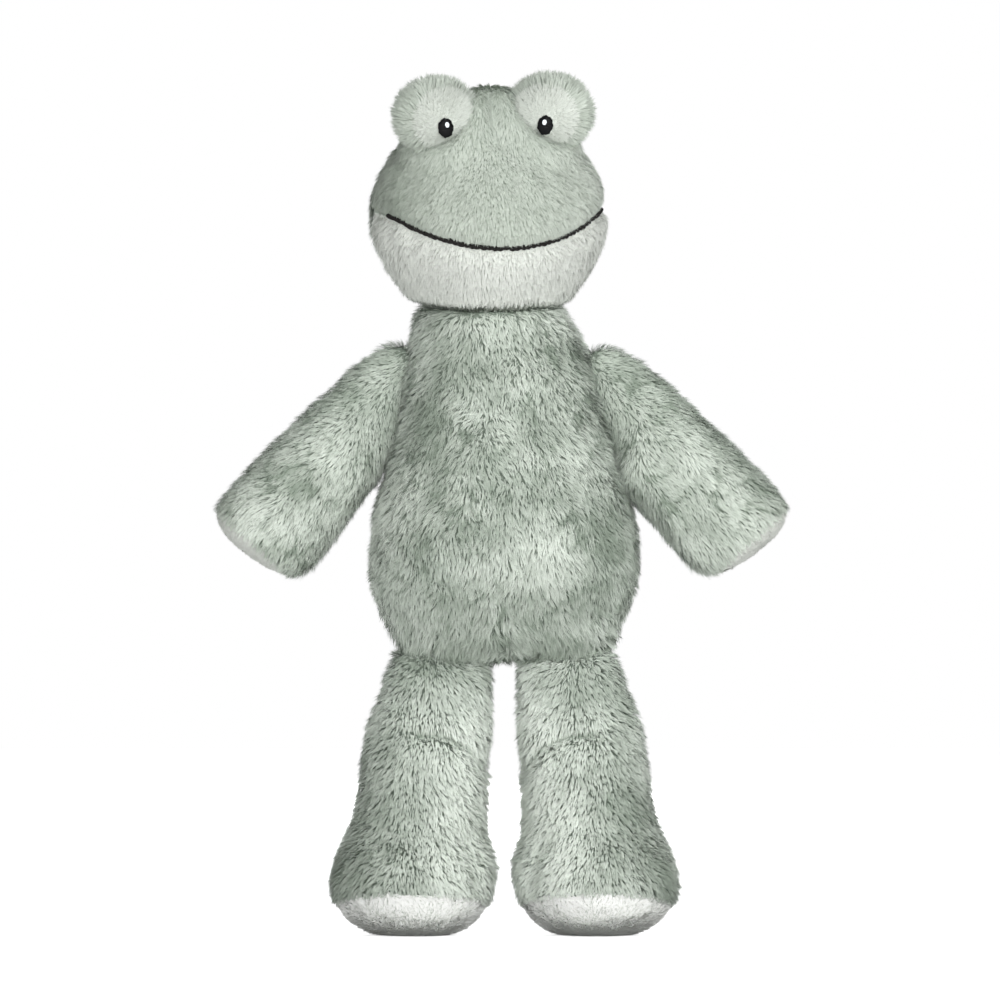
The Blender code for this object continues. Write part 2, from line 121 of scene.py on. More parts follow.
arm_along = {name: Vector((side * arm_spread, 0, -arm_drop)) for name, side in sides.items()}
arm_leaves = {}
for name, side in sides.items():
    line = seam_lines["arm_" + name]
    out = Vector((-line.z, 0, line.x)).normalized()
    arm_leaves[name] = out if out.x * side > 0 else -out
mouth_radius = 0.0650
mouth_middle = 0.0893
back_seam = 0.0045
eye_seam = 0.0052
paw_seam = 0.0756
sole_height = 0.0110
sole_slope = math.tan(math.radians(9.5))
print("neck at", pivots["head"][:], "hips at", pivots["leg_left"][:], pivots["leg_right"][:])


def seen_from(matrix, places):
    """World places, as an array, in the frame that the matrix stands for."""
    inverse = np.array(matrix.inverted())
    return places @ inverse[:3, :3].T + inverse[:3, 3]


def line_away(places, line):
    """Distances in the front view from a line of (x, z) points, far for places on the toy's back."""
    flat = places[:, [0, 2]]
    away = np.full(len(places), 1.0)
    for start, end in zip(np.array(line)[:-1], np.array(line)[1:]):
        way = end - start
        share = np.clip((flat - start) @ way / (way @ way), 0, 1)[:, None]
        away = np.minimum(away, np.linalg.norm(flat - start - share * way, axis=1))
    return np.where(places[:, 1] < seam_depth, away, 1.0)


# %% [markdown]
# ## Camera, backdrop and light
# The photograph is a cut-out product picture: a long lens straight from the front, white all round, and
# soft even light. The white is only for the camera, so that it doesn't light the toy, and the floor keeps a
# faint shadow.

# %% Camera
picture_width = 0.3824
distance = 4.0
lens = bpy.data.cameras.new("camera")
lens.sensor_width = 36.0
lens.lens = lens.sensor_width * distance / picture_width
lens.clip_end = 50.0
camera = bpy.data.objects.new("camera", lens)
bpy.context.scene.collection.objects.link(camera)
camera.location = (-0.0017, seam_depth - distance, 0.1663)
camera.rotation_euler = (math.radians(90.0), 0, 0)
bpy.context.scene.camera = camera
bpy.context.scene.view_settings.view_transform = "Standard"
print("lens", round(lens.lens, 1), "mm")


# %% [markdown]
# A material is a tree of nodes. Every finish below starts the same way, so three helpers do that.


# %% Starting a finish
def set_sockets(node, values):
    for socket, value in values.items():
        node.inputs[socket].default_value = value


def new_node(tree, kind, values=None, **settings):
    """A new shader node with its own settings and its sockets' values."""
    node = tree.nodes.new("ShaderNode" + kind)
    for setting, value in settings.items():
        setattr(node, setting, value)
    set_sockets(node, values or {})
    return node


def new_finish(name, values):
    """A new material, its node tree, its shader with plain values on its sockets, and what makes links."""
    material = bpy.data.materials.new(name)
    material.use_nodes = True
    shader = material.node_tree.nodes["Principled BSDF"]
    set_sockets(shader, values)
    return material, material.node_tree, shader, material.node_tree.links.new


# %% Floor
def white_to_the_camera(name, colour, glow):
    """A pale matt surface that shows white to the camera and in gloss, and keeps the shadow on it."""
    values = {"Base Color": (*colour, 1), "Roughness": 1.0, "Emission Color": (1, 1, 1, 1)}
    material, tree, shader, link = new_finish(name, values)
    path = new_node(tree, "LightPath")
    seen = new_node(tree, "Math", operation="MAXIMUM")
    link(path.outputs["Is Camera Ray"], seen.inputs[0])
    link(path.outputs["Is Glossy Ray"], seen.inputs[1])
    through = new_node(tree, "Math", operation="MAXIMUM")
    link(seen.outputs[0], through.inputs[0])
    link(path.outputs["Is Transmission Ray"], through.inputs[1])
    strength = new_node(tree, "Math", {1: glow}, operation="MULTIPLY")
    link(through.outputs[0], strength.inputs[0])
    link(strength.outputs[0], shader.inputs["Emission Strength"])
    return material


bpy.ops.object.select_all(action="DESELECT")
bpy.ops.mesh.primitive_plane_add(size=6.0, location=(0, 0, 0))
floor = bpy.context.active_object
floor.name = "floor"
bpy.ops.object.mode_set(mode="EDIT")
bpy.ops.mesh.select_all(action="SELECT")
bpy.ops.mesh.subdivide(number_cuts=2)
bpy.ops.object.mode_set(mode="OBJECT")
floor.data.materials.append(white_to_the_camera("studio_floor", (0.9, 0.9, 0.9), 0.62))
print("floor", [round(v, 1) for v in floor.dimensions], "m")

# %% Backdrop
world = bpy.data.worlds.new("studio")
bpy.context.scene.world = world
world.use_nodes = True
sky = world.node_tree.nodes["Background"]
sky.inputs["Color"].default_value = (1, 1, 1, 1)
seen = new_node(world.node_tree, "LightPath")
level = new_node(world.node_tree, "MapRange", {"To Min": 0.42, "To Max": 1.0})
world.node_tree.links.new(seen.outputs["Is Camera Ray"], level.inputs["Value"])
world.node_tree.links.new(level.outputs["Result"], sky.inputs["Strength"])
print("daylight all round", round(level.inputs["To Min"].default_value, 2))


# %% Lamps
toy_middle = Vector((0, 0, 0.17))


def softbox(name, place, size, power):
    """A large square lamp that looks at the middle of the toy."""
    light = bpy.data.lights.new(name, "AREA")
    light.shape = "SQUARE"
    light.size = size
    light.energy = power
    lamp = bpy.data.objects.new(name, light)
    bpy.context.scene.collection.objects.link(lamp)
    lamp.location = place
    lamp.rotation_euler = (toy_middle - Vector(place)).to_track_quat("-Z", "Y").to_euler()
    print(name, "lamp,", power, "W from", round((toy_middle - Vector(place)).length, 2), "m")


softbox("key", (1.0, -1.6, 1.1), 0.9, 18.0)
softbox("front", (0.1, -2.2, 0.12), 1.4, 44.0)
softbox("fill", (-1.5, -1.4, 0.5), 1.2, 4.0)
softbox("back", (0.2, 2.0, 0.8), 1.2, 32.0)

# %% [markdown]
# ## Finishes
# Plush is a knitted backing with a pile of thin fibres. Each fibre is pale for most of its length, with
# shade painted dark at its foot, where little light gets in, less so in a pale tuft, and a little light
# painted at its tip. Whole tufts are paler or darker than others. So a blade carries two numbers in its own
# UV map: across, its tuft's tone, and up, the place along the fibre. One node group turns the two into a
# colour, and each cloth gives it its own colours.

# %% The pile's colour, as a node group
pile_colour = bpy.data.node_groups.new("pile colour", "ShaderNodeTree")


def add_socket(name, kind, value=None, way="INPUT"):
    socket = pile_colour.interface.new_socket(name, in_out=way, socket_type=kind)
    if value is not None:
        socket.default_value = value


add_socket("Map", "NodeSocketVector")
add_socket("Dark Tuft", "NodeSocketColor", (0.3, 0.3, 0.3, 1))
add_socket("Pale Tuft", "NodeSocketColor", (0.6, 0.6, 0.6, 1))
add_socket("Foot", "NodeSocketColor", (0.1, 0.1, 0.1, 1))
add_socket("Foot End", "NodeSocketFloat", 0.4)
add_socket("Tip", "NodeSocketFloat", 1.1)
add_socket("Color", "NodeSocketColor", way="OUTPUT")
inside = pile_colour.nodes.new("NodeGroupInput")
outside = pile_colour.nodes.new("NodeGroupOutput")
split = new_node(pile_colour, "SeparateXYZ")
tuft = new_node(pile_colour, "Mix", data_type="RGBA")
# The foot mix paints shade at a blade's foot, less of it in a pale tuft, and tipping paints a little light
# towards its tip.
foot = new_node(pile_colour, "Mix", data_type="RGBA")
rise = new_node(pile_colour, "MapRange", interpolation_type="SMOOTHSTEP")
pale_foot = new_node(pile_colour, "Mix", data_type="RGBA")
paleness = new_node(pile_colour, "MapRange", {"From Min": 0.5, "To Max": 0.6})
tipping = new_node(pile_colour, "MapRange", {"From Min": 0.55, "To Min": 1.0})
bright = new_node(pile_colour, "VectorMath", operation="SCALE")
link = pile_colour.links.new
link(inside.outputs["Map"], split.inputs[0])
link(split.outputs["X"], tuft.inputs["Factor"])
link(inside.outputs["Dark Tuft"], tuft.inputs["A"])
link(inside.outputs["Pale Tuft"], tuft.inputs["B"])
link(split.outputs["Y"], rise.inputs["Value"])
link(inside.outputs["Foot End"], rise.inputs["From Max"])
link(rise.outputs["Result"], foot.inputs["Factor"])
link(split.outputs["X"], paleness.inputs["Value"])
link(paleness.outputs["Result"], pale_foot.inputs["Factor"])
link(inside.outputs["Foot"], pale_foot.inputs["A"])
link(tuft.outputs["Result"], pale_foot.inputs["B"])
link(pale_foot.outputs["Result"], foot.inputs["A"])
link(tuft.outputs["Result"], foot.inputs["B"])
link(split.outputs["Y"], tipping.inputs["Value"])
link(inside.outputs["Tip"], tipping.inputs["To Max"])
link(foot.outputs["Result"], bright.inputs[0])
link(tipping.outputs["Result"], bright.inputs["Scale"])
link(bright.outputs[0], outside.inputs["Color"])
print(pile_colour.name, "has", len(pile_colour.nodes), "nodes")


# %% The cloths' piles
def pile_finish(name, dark, pale, foot_shade_colour, foot_end=0.45):
    """The matt finish of one cloth's fibres, with shade painted at their feet."""
    matt = {"Roughness": 0.85, "Specular IOR Level": 0.25, "Sheen Weight": 0.15, "Sheen Roughness": 0.5}
    material, tree, shader, link = new_finish(name, matt)
    place = new_node(tree, "UVMap", uv_map="pile")
    colour = new_node(tree, "Group", {"Foot End": foot_end}, node_tree=pile_colour)
    set_sockets(colour, {"Dark Tuft": (*dark, 1), "Pale Tuft": (*pale, 1), "Foot": (*foot_shade_colour, 1)})
    link(place.outputs["UV"], colour.inputs["Map"])
    link(colour.outputs["Color"], shader.inputs["Base Color"])
    print("pile", name, "from", dark, "to", pale)
    return material


body_pile = pile_finish("sage_long_pile", (0.31, 0.37, 0.30), (0.76, 0.82, 0.74), (0.10, 0.125, 0.095))
leg_pile = pile_finish("sage_tufted_pile", (0.33, 0.39, 0.32), (0.84, 0.90, 0.82), (0.12, 0.15, 0.12))
face_pile = pile_finish(
    "sage_short_pile", (0.40, 0.455, 0.385), (0.67, 0.725, 0.65), (0.33, 0.38, 0.315), foot_end=0.35
)
jaw_pile = pile_finish("pale_short_pile", (0.66, 0.69, 0.64), (0.90, 0.93, 0.87), (0.46, 0.48, 0.44))
eye_pile = pile_finish("eye_pale_pile", (0.50, 0.535, 0.48), (0.72, 0.76, 0.70), (0.37, 0.40, 0.355))
paw_pile = pile_finish("paw_pale_pile", (0.58, 0.61, 0.56), (0.78, 0.80, 0.75), (0.46, 0.48, 0.44))
# The soles' pale pile is painted paler than the paws', as painted light: the soles face the floor and lie in
# shade.
sole_pile_painted_light = pile_finish(
    "sole_pale_pile_painted_light", (0.87, 0.88, 0.85), (0.95, 0.96, 0.94), (0.82, 0.83, 0.81), foot_end=0.3
)

# %% [markdown]
# The backing that shows between tufts is a fine knit. Its loops are small cells, used as bumps, and its
# colour, a little uneven, is the cloth's sage darkened near that of the pile's foot, as painted shade in the
# gaps between tufts.


# %% The knitted backing
def backing_finish(name, colour):
    """Uneven colour, and the knit's loops as bumps."""
    material, tree, shader, link = new_finish(name, {"Roughness": 0.95, "Specular IOR Level": 0.15})
    place = new_node(tree, "TexCoord")
    uneven = new_node(tree, "TexNoise", {"Scale": 90.0, "Detail": 3.0})
    darker, paler = ((*(v * share for v in colour), 1) for share in (0.75, 1.25))
    shade = new_node(tree, "Mix", {"A": darker, "B": paler}, data_type="RGBA")
    loops = new_node(tree, "TexVoronoi", {"Scale": 900.0})
    bump = new_node(tree, "Bump", {"Strength": 0.5, "Distance": 0.0004})
    link(place.outputs["Object"], uneven.inputs["Vector"])
    link(place.outputs["Object"], loops.inputs["Vector"])
    link(uneven.outputs["Fac"], shade.inputs["Factor"])
    link(shade.outputs["Result"], shader.inputs["Base Color"])
    link(loops.outputs["Distance"], bump.inputs["Height"])
    link(bump.outputs["Normal"], shader.inputs["Normal"])
    return material


sage_backing = backing_finish("sage_backing", (0.24, 0.285, 0.235))
face_backing = backing_finish("face_backing", (0.42, 0.475, 0.405))
pale_backing = backing_finish("pale_backing", (0.70, 0.73, 0.68))
print("backings", sage_backing.name, face_backing.name, pale_backing.name)

# %% [markdown]
# ## Stuffed forms
# A stuffed form could be modelled by hand, but its panels already have the right cut. So each one starts as
# a copy of its panels. A voxel remesh closes their seams into one even skin. The skin is drawn in a little
# and blown up again by a cloth simulation with pressure, as filling does. How far a point may move is
# limited, so the form keeps its size, and its sewn root stays where it is.


# %% A copy of some solids as one skin
def one_skin(names, name, voxel):
    """Copies CAD nodes into one new closed mesh."""
    bpy.ops.object.select_all(action="DESELECT")
    for node in names:
        nodes[node].select_set(True)
    bpy.context.view_layer.objects.active = nodes[names[0]]
    bpy.ops.object.duplicate()
    bpy.ops.object.parent_clear(type="CLEAR_KEEP_TRANSFORM")
    bpy.ops.object.join()
    piece = bpy.context.active_object
    piece.name = name
    piece.data.name = name
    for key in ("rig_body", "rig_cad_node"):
        del piece[key]
    piece.data.materials.clear()
    even = piece.modifiers.new("even", "REMESH")
    even.mode = "VOXEL"
    even.voxel_size = voxel
    bpy.ops.object.modifier_apply(modifier="even")
    smooth = piece.modifiers.new("smooth", "SMOOTH")
    smooth.iterations = 3
    bpy.ops.object.modifier_apply(modifier="smooth")
    return piece


def places_of(piece):
    places = np.empty(len(piece.data.vertices) * 3)
    piece.data.vertices.foreach_get("co", places)
    return places.reshape(-1, 3)


def put_places(piece, places):
    piece.data.vertices.foreach_set("co", places.ravel())
    piece.data.update()


# %% [markdown]
# The solids leave a narrow slot at every joint, so that they can turn. Cloth has no slot there: a limb's
# tube is sewn to the body all round. So its root is carried some millimetres into the body and rounded out.


# %% Carrying a root into the body
def tuck_root(piece, pivot, out, deep, rounder, reach=0.008):
    """Moves a root against the direction in which the form leaves its seam, and makes it thicker."""
    places = places_of(piece)
    beyond = (places - np.array(pivot)) @ np.array(out)
    share = np.clip(1 - (beyond + 0.0027) / reach, 0, 1)
    share = share**2 * (3 - 2 * share)
    places[:, 1] += (places[:, 1] - seam_depth) * rounder * np.exp(-((beyond / 0.010) ** 2))
    places -= np.array(out) * (share * deep)[:, None]
    put_places(piece, places)


# %% Moving a skin along its normals
def shift_skin(piece, shares, way):
    """Displaces a skin by a distance, as far as each point's share says."""
    bpy.context.view_layer.objects.active = piece
    group = piece.vertex_groups.new(name="share")
    for index, share in enumerate(shares):
        group.add([index], float(share), "REPLACE")
    move = piece.modifiers.new("move", "DISPLACE")
    move.mid_level = 0.0
    move.strength = way
    move.vertex_group = "share"
    bpy.ops.object.modifier_apply(modifier="move")
    piece.vertex_groups.clear()


# %% Filling a skin by a cloth simulation
def fill(piece, pivot, out, held_reach, pressure, draw_in, give):
    """Draws the skin in, away from its sewn root, blows it up again by give at most, and smooths it."""
    beyond = (places_of(piece) - np.array(pivot)) @ np.array(out)
    loose = np.clip(beyond / held_reach - 1, 0, 1)
    shift_skin(piece, loose, -draw_in)
    start = places_of(piece)
    held = piece.vertex_groups.new(name="held")
    for index, share in enumerate(loose):
        held.add([index], 1 - float(share), "REPLACE")
    cloth = piece.modifiers.new("filling", "CLOTH")
    cloth.settings.quality = 4
    cloth.settings.mass = 0.02
    cloth.settings.tension_stiffness = 0.3
    cloth.settings.compression_stiffness = 0.3
    cloth.settings.shear_stiffness = 0.3
    cloth.settings.bending_stiffness = 0.02
    cloth.settings.use_pressure = True
    cloth.settings.uniform_pressure_force = pressure
    cloth.settings.effector_weights.gravity = 0.0
    cloth.settings.vertex_group_mass = "held"
    for step in range(1, 21):
        bpy.context.scene.frame_set(step)
    bpy.ops.object.modifier_apply(modifier="filling")
    bpy.context.scene.frame_set(1)
    piece.vertex_groups.clear()
    moved = places_of(piece) - start
    far = np.linalg.norm(moved, axis=1, keepdims=True)
    put_places(piece, start + moved * np.minimum(1, give / np.maximum(far, 1e-9)))
    print(piece.name, "swelled by", round(float(far.mean()) * 1000, 2), "mm on average before the limit")
    finer = piece.modifiers.new("finer", "SUBSURF")
    finer.levels = 1
    finer.render_levels = 1
    bpy.ops.object.modifier_apply(modifier="finer")
    piece.data.shade_smooth()
    print(piece.name, len(piece.data.polygons), "faces")


# %% [markdown]
# Soft cloth hugs what is sewn to it. So the body's top rises round the chin like a low collar, the chin is
# round, the cloth of the head rises where an eye is sewn on, and each arm is fuller at the top of its
# shoulder.


# %% Shaping the skins
chin_reach = 0.034
chin_gap = 0.0010
crown_at, crown_size, crown_lift = (0, -0.012, 0.084), (0.013, 0.022, 0.018), (0, -0.0045, 0.0056)
shoulder_rise = {"left": 0.0046, "right": 0.0028}


def chin_height(places):
    """The round chin's height above the neck's seam: it rises to both sides, and less to front and back."""
    out = (places - (pivots["head"].x, seam_depth, 0)) ** 2
    return chin_gap + np.minimum(out[:, 0] + 0.55 * out[:, 1], chin_reach**2) / 0.125


def round_chin(piece):
    """Raises the outer part of the head's flat underside."""
    places = places_of(piece)
    places[:, 2] = np.maximum(places[:, 2], neck_height + chin_height(places))
    put_places(piece, places)


def raise_collar(piece):
    """Lifts the rim of the body's top round the chin."""
    places = places_of(piece)
    near_top = np.clip((places[:, 2] - neck_height + 0.016) / 0.012, 0, 1)
    places[:, 0] -= near_top * 0.0015
    places[:, 2] += near_top * (chin_height(places) - 0.0004)
    put_places(piece, places)


def raise_crown(piece):
    """Lifts the cloth between the eyes and brings it forward, in front of their inner sides."""
    places = places_of(piece)
    from_crown = (seen_from(head_place, places) - crown_at) / crown_size
    put_places(piece, places + np.exp(-((from_crown**2).sum(1)))[:, None] * crown_lift)


def raise_sockets(piece):
    """Pushes the head's cloth out where the eyes stand on it, and a little at the cheeks."""
    places = places_of(piece)
    rise = 0.35 * np.clip((np.abs(seen_from(head_place, places)[:, 0]) - 0.028) / 0.010, 0, 1)
    for eye in eye_place.values():
        from_eye = np.linalg.norm((places - np.array(eye.translation)) / (1.0, 0.75, 0.92), axis=1)
        rise = np.maximum(rise, np.exp(-(((from_eye - 0.0165) / 0.0060) ** 2)))
    shift_skin(piece, rise * (places[:, 1] < 0.010 + seam_depth), 0.0038)


def fill_shoulder(piece, name):
    """Makes an arm fuller on the upper side of its root."""
    places = places_of(piece)
    from_root = places - np.array(pivots["arm_" + name])
    beyond = from_root @ np.array(arm_leaves[name])
    upper = np.clip((from_root[:, 2] + np.maximum(beyond, 0) * 0.95) / 0.016, 0, 1)
    places[:, 2] += shoulder_rise[name] * upper * np.exp(-np.maximum(beyond + 0.002, 0) / 0.022)
    put_places(piece, places)


# %% Body and head
torso = one_skin(["torso_front_panel", "torso_back_panel", "torso_stuffing"], "torso_padding", 0.0035)
tuck_root(torso, pivots["leg_left"], (0, 0, 1), deep=0.0, rounder=0.8)
fill(torso, pivots["head"], (0, 0, -1), held_reach=0.003, pressure=4.0, draw_in=0.0008, give=0.0030)
places = places_of(torso)
below_neck = np.clip((neck_height - 0.004 - places[:, 2]) / 0.018, 0, 1)
above_hips = np.clip((places[:, 2] - 0.108) / 0.010, 0, 1)
shift_skin(torso, below_neck * above_hips, 0.0017)
raise_collar(torso)
head_cloths = ["head_face_panel", "head_jaw_panel", "head_back_panel", "head_stuffing"]
head = one_skin(head_cloths, "head_padding", 0.0030)
fill(head, pivots["head"], (0, 0, 1), held_reach=0.003, pressure=5.0, draw_in=0.0008, give=0.0028)
round_chin(head)
raise_sockets(head)
raise_crown(head)

# %% Limbs
limbs = {}
rooted = {"held_reach": 0.005, "draw_in": 0.0006}
for name in sides:
    arm = one_skin(
        [f"arm_front_panel_{name}", f"arm_back_panel_{name}", f"paw_pad_{name}", f"arm_stuffing_{name}"],
        f"arm_padding_{name}",
        0.0026,
    )
    tuck_root(arm, pivots["arm_" + name], arm_leaves[name], deep=0.0060, rounder=1.3)
    fill_shoulder(arm, name)
    fill(arm, pivots["arm_" + name], arm_leaves[name], pressure=16.0, give=0.0026, **rooted)
    limbs["arm_" + name] = arm
    leg = one_skin(
        [f"leg_front_panel_{name}", f"leg_back_panel_{name}", f"sole_pad_{name}", f"leg_stuffing_{name}"],
        f"leg_padding_{name}",
        0.0026,
    )
    tuck_root(leg, pivots["leg_" + name], (0, 0, -1), deep=0.0080, rounder=1.5, reach=0.010)
    fill(leg, pivots["leg_" + name], (0, 0, -1), pressure=12.0, give=0.0028, **rooted)
    limbs["leg_" + name] = leg
    places = places_of(leg)
    outer = np.clip((places[:, 0] * sides[name] - 0.030) / 0.010, 0, 1)
    shift_skin(leg, outer * np.clip(places[:, 2] / 0.020, 0, 1), 0.0016)
    put_places(leg, np.maximum(places_of(leg), (-1, -1, 0.0010)))

# %% Eye bulges
eyes = {}
for name in sides:
    eye = one_skin(
        [f"eye_front_panel_{name}", f"eye_back_panel_{name}", f"eye_stuffing_{name}"],
        f"eye_padding_{name}",
        0.0014,
    )
    eye.data.transform(Matrix.Translation((-0.0010 * sides[name], 0, 0.0003)))
    fill(eye, pivots["head"], (0, 0, 1), held_reach=0.001, pressure=24.0, draw_in=0.0008, give=0.0012)
    eyes[name] = eye

# %% [markdown]
# Some lines are sewn or folded in: the mouth, a crease across each knee and one inside each ankle, where
# the cloth bulges. A groove along each line is pressed into the skin.


# %% Grooves
def mouth_gap(places):
    """How far places in the head's frame lie above the mouth's arc, in metres, as seen from the front."""
    return mouth_radius - np.hypot(places[:, 0], places[:, 2] - mouth_middle)


in_head = seen_from(head_place, places_of(head))
shift_skin(head, np.exp(-((mouth_gap(in_head) / 0.0035) ** 2)) * (in_head[:, 1] < 0.002), -0.0018)

knee_line = ((0.0330, 0.0775), (0.0230, 0.0768), (0.0150, 0.0728), (0.0085, 0.0630))
ankle_line = ((0.0165, 0.0370), (0.0130, 0.0300), (0.0115, 0.0200))
creases = {}
for name, side in sides.items():
    leg = limbs["leg_" + name]
    from_ankle = (places_of(leg) - (side * 0.009, seam_depth, 0.026)) / (0.006, 0.020, 0.009)
    shift_skin(leg, np.exp(-((from_ankle**2).sum(1))), 0.0020)
    creases[name] = [[(side * x, z) for x, z in line] for line in (knee_line, ankle_line)]
    for line in creases[name]:
        shift_skin(leg, np.exp(-((line_away(places_of(leg), line) / 0.0028) ** 2)), -0.0014)
    print("leg", name, "has", len(creases[name]), "creases")

# %% [markdown]
# ## Sowing the pile
# A particle system would draw fibres, but they are lost when the toy is exported, so each fibre is a blade
# of mesh: two narrow faces that end in a point. The blades are sown evenly over a skin, stand up from it at
# an angle, follow a combing direction, and lean towards the tip of the tuft that they belong to. A region
# is one mesh.


# %% Sowing places on a skin
def unit(vectors):
    return vectors / np.maximum(np.linalg.norm(vectors, axis=-1, keepdims=True), 1e-12)


def sow(skin, per_square_mm, keep, rng):
    """Random places and normals, evenly over the part of a skin where keep(places) is true."""
    mesh = skin.data
    mesh.calc_loop_triangles()
    corners = np.empty(len(mesh.loop_triangles) * 3, np.int32)
    mesh.loop_triangles.foreach_get("vertices", corners)
    corners = corners.reshape(-1, 3)
    places = places_of(skin)[corners]
    normals = np.empty(len(mesh.vertices) * 3)
    mesh.vertices.foreach_get("normal", normals)
    normals = normals.reshape(-1, 3)[corners]
    areas = np.linalg.norm(np.cross(places[:, 1] - places[:, 0], places[:, 2] - places[:, 0]), axis=1) / 2
    count = int(areas.sum() * 1e6 * per_square_mm)
    face = rng.choice(len(areas), count, p=areas / areas.sum())
    u, v = rng.random((2, count))
    over = u + v > 1
    u[over], v[over] = 1 - u[over], 1 - v[over]
    weights = np.stack([1 - u - v, u, v], 1)[:, :, None]
    spots = (places[face] * weights).sum(1)
    lean = unit((normals[face] * weights).sum(1))
    kept = keep(spots)
    return spots[kept], lean[kept]


def flattened(directions, normals):
    """Directions laid into the surface."""
    return unit(directions - (directions * normals).sum(1, keepdims=True) * normals)


def patchy(places, size, seed):
    """Smooth noise from -1 to 1 with patches of a given size."""
    shift = Vector((seed * 7.3, seed * 3.1, seed * 5.7))
    return np.array([noise.noise(Vector(place) / size + shift) for place in places])


# %% [markdown]
# A blade is too thin to be lit by its own faces alone: light goes through many fibres and comes back
# softly. So a blade's normals are mostly those of the skin below it, which makes the pile read as one soft
# surface.
#
# What sets one cloth's pile apart is written as one row: blades and tufts per square mm, a blade's width
# and length, its lift from the skin in degrees, how far it is pulled to the tip of its tuft, how much it
# strays from the combing, how large and how strong the paler and darker patches are, and how much flatter
# it settles where the skin looks up.

# %% The mesh of one region
bend_share = 0.58


def blade_mesh(name, points, tones, normals, finish):
    """Joins five points a blade into two faces, with its tone and the place along it in its UV map."""
    count = len(points)
    mesh = bpy.data.meshes.new(name)
    mesh.vertices.add(count * 5)
    mesh.vertices.foreach_set("co", points.ravel())
    mesh.loops.add(count * 7)
    corners = np.arange(count)[:, None] * 5 + np.array([[0, 1, 3, 2, 2, 3, 4]])
    mesh.loops.foreach_set("vertex_index", corners.ravel())
    mesh.polygons.add(count * 2)
    mesh.polygons.foreach_set("loop_start", (np.arange(count)[:, None] * 7 + np.array([[0, 4]])).ravel())
    mesh.update(calc_edges=True)
    side = np.array([-1, 1, 1, -1, -1, 1, 0]) * 0.006
    up = np.array([0.0, 0.0, bend_share, bend_share, bend_share, bend_share, 1.0]) * 0.98 + 0.01
    blade_map = np.stack(np.broadcast_arrays(tones[:, None] + side, up), 2)
    for layer in ("pile", "OFBake"):
        uv = mesh.uv_layers.new(name=layer)
        uv.uv.foreach_set("vector", blade_map.astype(np.float32).ravel())
    mesh.materials.append(finish)
    mesh.shade_smooth()
    mesh.normals_split_custom_set_from_vertices(np.repeat(normals, 5, axis=0).tolist())
    piece = bpy.data.objects.new(name, mesh)
    bpy.context.scene.collection.objects.link(piece)
    print(name, count, "blades,", count * 3, "triangles")
    return piece


# %% Making the blades of one region
Look = namedtuple("Look", "blades tufts width length lift pull stray patch mottle settle", defaults=(0.1,))
foot_depth = 0.0002
floor_gap = 0.0002


